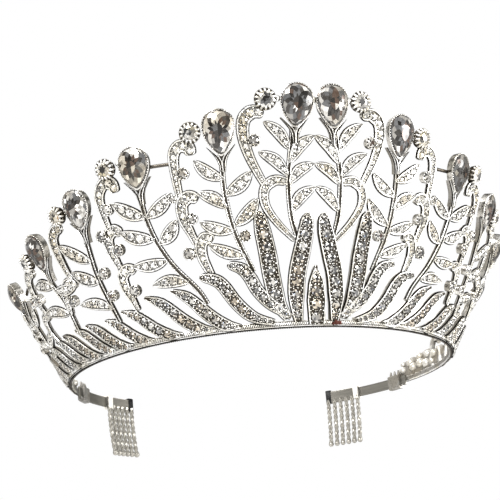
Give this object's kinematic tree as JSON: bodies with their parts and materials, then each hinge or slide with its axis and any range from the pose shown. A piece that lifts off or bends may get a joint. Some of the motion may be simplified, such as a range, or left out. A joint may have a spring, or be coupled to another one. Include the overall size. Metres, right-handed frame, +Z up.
{
  "type": "bridal crown",
  "caption": "Openwork tiara with a flared wall of leaves, scrolls and drop stones on a round rim, open at the back, held by two strips with hair combs.",
  "frame": {"origin": "centre of the rim circle, in the rim plane", "axes": "+Z up through the crown, -Y towards the front of the crown, +X towards its right as seen from the front"},
  "size_m": [0.1844, 0.1502, 0.0925],
  "materials": {
    "silver_plate": "bright silver plate on cast alloy, darker in the recesses",
    "drop_crystal": "clear cut crystal with a foiled back",
    "crystal": "small clear cut crystal with a foiled back",
    "spring_steel": "plain rolled steel strip",
    "comb_wire": "plated wire"
  },
  "bodies": {
    "root": {"openwork_frame": "silver_plate", "pear_left_1": "drop_crystal", "pear_left_2": "drop_crystal", "pear_left_3": "drop_crystal", "pear_left_4": "drop_crystal", "pear_left_5": "drop_crystal", "pear_left_6": "drop_crystal", "pear_right_1": "drop_crystal", "pear_right_2": "drop_crystal", "pear_right_3": "drop_crystal", "pear_right_4": "drop_crystal", "pear_right_5": "drop_crystal", "pear_right_6": "drop_crystal", "round_left_1": "crystal", "round_left_2": "crystal", "round_left_3": "crystal", "round_left_4": "crystal", "round_left_5": "crystal", "round_right_1": "crystal", "round_right_2": "crystal", "round_right_3": "crystal", "round_right_4": "crystal", "round_right_5": "crystal", "scroll_stones_left": "crystal", "scroll_stones_right": "crystal", "blade_stones_left": "crystal", "blade_stones_right": "crystal", "centre_leaf_stones": "crystal", "strip_left": "spring_steel", "strip_right": "spring_steel", "comb_left": "comb_wire", "comb_right": "comb_wire"}
  },
  "joints": []
}
